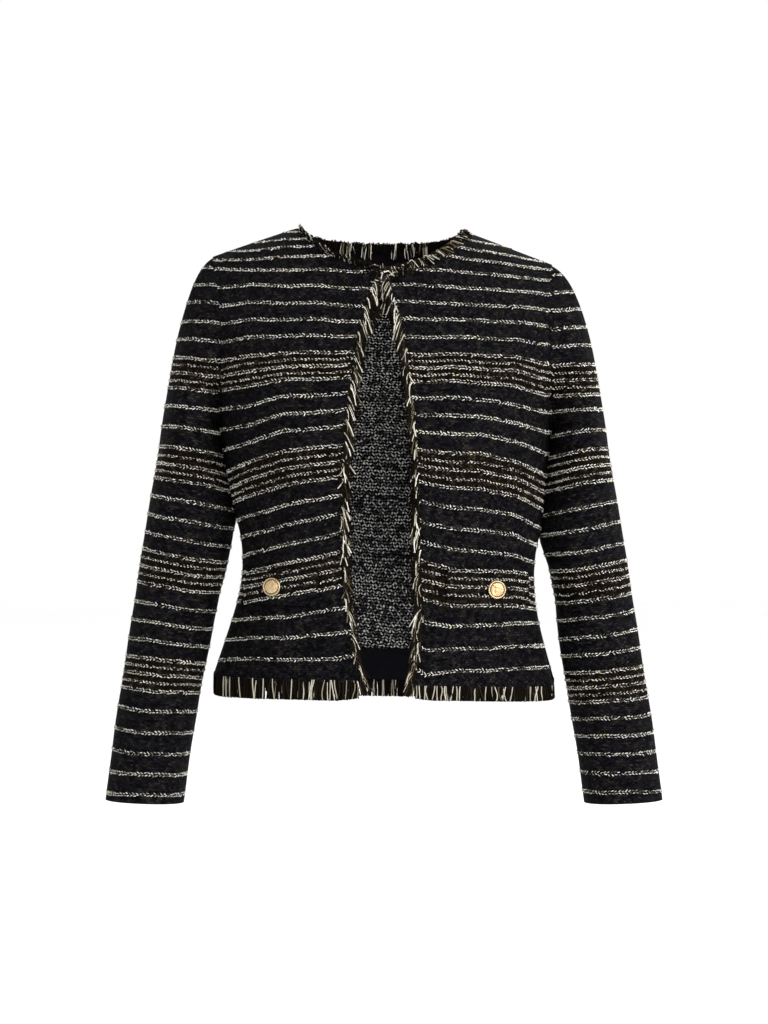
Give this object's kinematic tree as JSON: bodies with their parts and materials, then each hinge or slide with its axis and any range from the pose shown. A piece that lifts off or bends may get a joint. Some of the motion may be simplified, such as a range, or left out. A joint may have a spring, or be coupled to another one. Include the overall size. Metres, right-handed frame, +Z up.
{
  "type": "cropped tweed jacket",
  "caption": "Cropped collarless tweed jacket in its worn form, hooked at the neck and open below, with long sleeves, fringed edges and flap pockets with metal buttons.",
  "frame": {"origin": "midway between the two neck points at the top of the shoulders, where the wearer's shoulders carry the jacket", "axes": "+Z up, the front faces -Y, +X to the wearer's left"},
  "size_m": [0.609, 0.2332, 0.6324],
  "materials": {
    "tweed": "black knitted tweed with raised cream chain stripes",
    "facing": "plain dark woven facing",
    "fringe": "loose cream, black and brown yarn ends",
    "gold": "polished gold-coloured metal",
    "hook": "dark lacquered wire"
  },
  "bodies": {
    "root": {"back": "tweed", "front_left": "tweed", "front_right": "tweed", "side_front_left": "tweed", "side_front_right": "tweed", "sleeve_left": "tweed", "sleeve_right": "tweed", "pocket_flap_left": "tweed", "pocket_flap_right": "tweed", "hem_facing_back": "facing", "fringe_neck_left": "fringe", "fringe_neck_right": "fringe", "fringe_neck_back": "fringe", "fringe_edge_left": "fringe", "fringe_edge_right": "fringe", "fringe_hem_left": "fringe", "fringe_hem_right": "fringe", "fringe_hem_back": "fringe", "button_left": "gold", "button_right": "gold", "neck_hook": "hook"}
  },
  "joints": []
}
